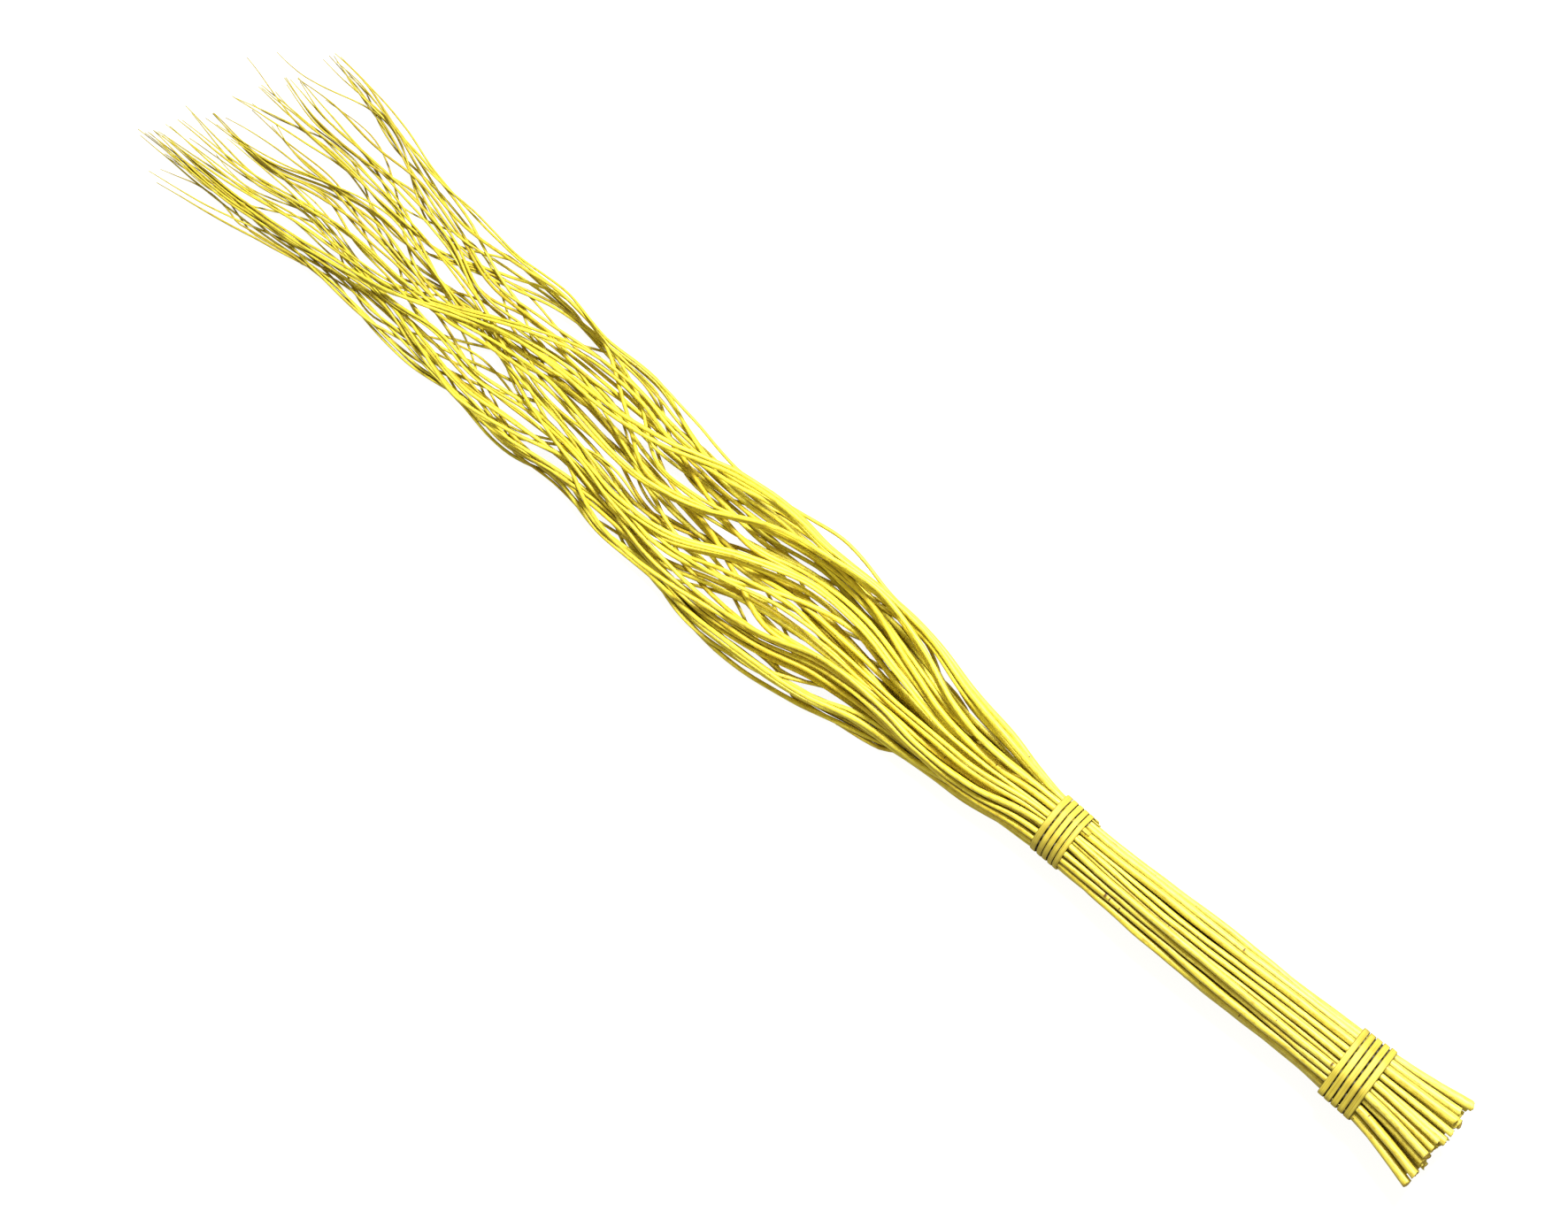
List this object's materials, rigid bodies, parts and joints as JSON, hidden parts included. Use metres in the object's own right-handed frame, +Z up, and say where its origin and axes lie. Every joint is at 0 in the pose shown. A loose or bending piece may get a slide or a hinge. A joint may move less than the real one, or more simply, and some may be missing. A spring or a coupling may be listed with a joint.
{
  "type": "bundle of twigs",
  "caption": "Bundle of long peeled willow twigs, dyed lemon yellow and crimped into waves, tied twice round the thick end with flat cane, lying down.",
  "frame": {"origin": "middle of the bottom of the bundle's box, on the surface that it lies on", "axes": "+X along the bundle towards the cut ends, the tips at -X; +Y across it as it lies; +Z up"},
  "size_m": [1.018, 0.1396, 0.0508],
  "materials": {
    "willow": "satin",
    "cane": "satin"
  },
  "bodies": {
    "root": {"twig_01": "willow", "twig_02": "willow", "twig_03": "willow", "twig_04": "willow", "twig_05": "willow", "twig_06": "willow", "twig_07": "willow", "twig_08": "willow", "twig_09": "willow", "twig_10": "willow", "twig_11": "willow", "twig_12": "willow", "twig_13": "willow", "twig_14": "willow", "twig_15": "willow", "twig_16": "willow", "twig_17": "willow", "twig_18": "willow", "twig_19": "willow", "twig_20": "willow", "twig_21": "willow", "twig_22": "willow", "twig_23": "willow", "twig_24": "willow", "twig_25": "willow", "twig_26": "willow", "twig_27": "willow", "twig_28": "willow", "twig_29": "willow", "twig_30": "willow", "twig_31": "willow", "twig_32": "willow", "twig_33": "willow", "twig_34": "willow", "twig_35": "willow", "twig_36": "willow", "twig_37": "willow", "twig_38": "willow", "twig_39": "willow", "twig_40": "willow", "twig_41": "willow", "twig_42": "willow", "twig_43": "willow", "twig_44": "willow", "twig_45": "willow", "twig_46": "willow", "twig_47": "willow", "twig_48": "willow", "twig_49": "willow", "twig_50": "willow", "twig_51": "willow", "twig_52": "willow", "tie_lower": "cane", "tie_upper": "cane"}
  },
  "joints": []
}
